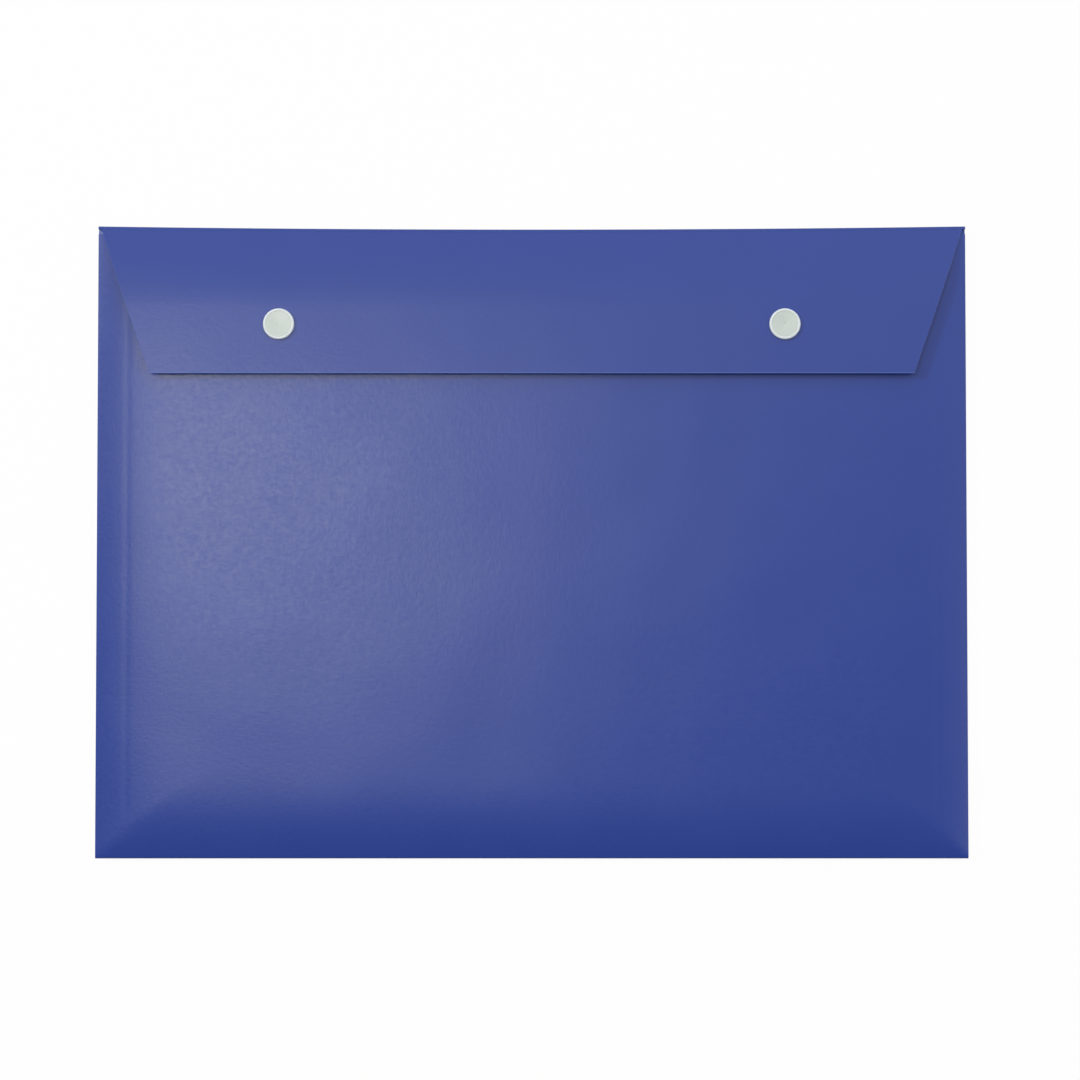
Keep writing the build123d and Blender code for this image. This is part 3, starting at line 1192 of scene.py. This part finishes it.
    def build(self, material: Material) -> None:
        """Build the four pieces on their bodies."""
        form, side = self.form, self.side.label
        low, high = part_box(f"flap_cap_{side}")
        x, y = (low.x + high.x) / 2, (low.y + high.y) / 2
        lean = Matrix.Rotation(-form.flap_tilt, 4, "X")
        on_flap = Matrix.Translation((x, y, form.flap_top)) @ lean
        under_flap = Matrix.Translation((x, y, form.flap_top - form.sheet)) @ lean
        on_front = Matrix.Translation((x, y, form.pocket_top))
        inside = Matrix.Translation((x, y, form.pocket_top - form.sheet)) @ Matrix.Rotation(pi, 4, "X")
        plan = (
            (f"flap_cap_{side}", self.cap_shape(self.cap_height), on_flap, Body.FLAP),
            (f"flap_socket_{side}", self.cut_slits(self.socket_shape()), under_flap, Body.FLAP),
            (f"pocket_stud_{side}", self.knob_shape(), on_front, Body.POCKET),
            (f"pocket_cap_{side}", self.cap_shape(self.inner_cap_height), inside, Body.POCKET),
        )
        for node, bm, at, body in plan:
            bmesh.ops.transform(bm, matrix=at, verts=bm.verts[:])
            piece = make_piece(f"{node}_moulding", bm, material, [node])
            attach(piece, body.value)


# ---- Studio ----


class LampShape(Enum):
    """Outlines of the studio lights."""

    PANEL = "RECTANGLE"
    ROUND = "ELLIPSE"


@dataclass(frozen=True)
class SoftLight:
    """A soft studio light that faces the wallet."""

    name: str
    shape: LampShape
    place: Triple
    size: tuple[float, float]
    power: float
    colour: Colour = (1.0, 1.0, 1.0)

    def build(self) -> None:
        """Hang the light."""
        lamp = bpy.data.lights.new(self.name, "AREA")
        lamp.shape = self.shape.value
        lamp.size, lamp.size_y = self.size
        lamp.energy = self.power
        lamp.color = self.colour
        add_object(self.name, lamp, facing(Vector(self.place), Vector()))


@dataclass
class Studio:
    """White floor, soft lights and the overhead camera.

    Attributes:
        frame_width: Width of the picture at the camera's aim.
        tilt: How far the camera leans towards the bottom fold, in degrees.
        glow: How far the paper shines of its own for the camera and in reflections.
    """

    frame_width: float = 408.8 * MM
    distance: float = 1.0
    tilt: float = 2.0
    aim: Triple = (3.1 * MM, 0.35 * MM, 6.0 * MM)
    sensor: float = 36.0
    floor_size: float = 12.0
    paper: float = 0.80
    glow: float = 0.96
    ambient: float = 0.18
    lights: tuple[SoftLight, ...] = (
        SoftLight("key_light", LampShape.ROUND, (-2.00, 0.85, 1.75), (0.50, 0.50), 28.0),
        SoftLight("back_panel", LampShape.PANEL, (0.3, 1.45, 1.85), (4.4, 3.2), 39.0),
        SoftLight("sheen_light", LampShape.PANEL, (-0.35, 0.11, 1.5), (0.32, 0.52), 4.9, (1.0, 0.98, 0.9)),
        SoftLight("fill_light", LampShape.ROUND, (2.0, -0.5, 1.6), (1.0, 1.0), 11.5),
    )

    def floor(self) -> None:
        """Lay the floor, whose paper shows nearly pure white and still takes a faint shadow."""
        g = Graph("white_paper")
        path = g.nodes.new("ShaderNodeLightPath")
        rays = ("Camera", "Glossy", "Transmission")
        camera, glossy, passed = (Signal(g, path.outputs[f"Is {ray} Ray"]) for ray in rays)
        seen = camera + glossy + passed
        paper = g.add("ShaderNodeBsdfDiffuse", inputs={"Color": (self.paper,) * 3 + (1.0,)})
        glow = g.add("ShaderNodeEmission", inputs={"Color": (1.0, 1.0, 1.0, 1.0), "Strength": 1.0})
        mixed = g.add("ShaderNodeMixShader", inputs={0: seen * self.glow, 1: paper, 2: glow})
        bm = bmesh.new()
        bmesh.ops.create_grid(bm, x_segments=1, y_segments=1, size=self.floor_size / 2)
        floor = loose_object("floor", bm)
        floor.data.materials.append(g.finish(mixed))

    def world(self) -> None:
        """Fill the room with even white light."""
        world = bpy.data.worlds.new("white_room")
        world.use_nodes = True
        background = world.node_tree.nodes["Background"]
        background.inputs["Color"].default_value = (1.0, 1.0, 1.0, 1.0)
        background.inputs["Strength"].default_value = self.ambient
        bpy.context.scene.world = world

    def camera(self) -> None:
        """Set up the camera that looks down on the wallet."""
        tilt = radians(self.tilt)
        aim = Vector(self.aim)
        place = aim + self.distance * Vector((0.0, -sin(tilt), cos(tilt)))
        lens = bpy.data.cameras.new("camera")
        lens.sensor_width = self.sensor
        lens.lens = self.sensor * self.distance / self.frame_width
        lens.clip_start = 10 * MM
        bpy.context.scene.camera = add_object("camera", lens, facing(place, aim))

    def build(self) -> None:
        """Set up the whole studio."""
        self.floor()
        self.world()
        for light in self.lights:
            light.build()
        self.camera()
        bpy.context.scene.view_settings.view_transform = "Standard"
        LOG.info("studio: floor, %d lights and camera", len(self.lights))


def main() -> None:
    """Build the wallet on its frame, then the studio."""
    logging.basicConfig(level=logging.INFO, format="%(name)s: %(message)s")
    form = WalletForm()
    sheet, moulding = SheetPlastic().build(), StudPlastic().build()
    PocketSheet(form).build(sheet)
    for side in Side:
        SideTab(form, side).build(sheet)
    CreaseStrip(form).build(sheet)
    FlapSheet(form).build(sheet)
    for side in Side:
        PressStud(form, side).build(moulding)
    Studio().build()


if __name__ == "__main__":
    main()
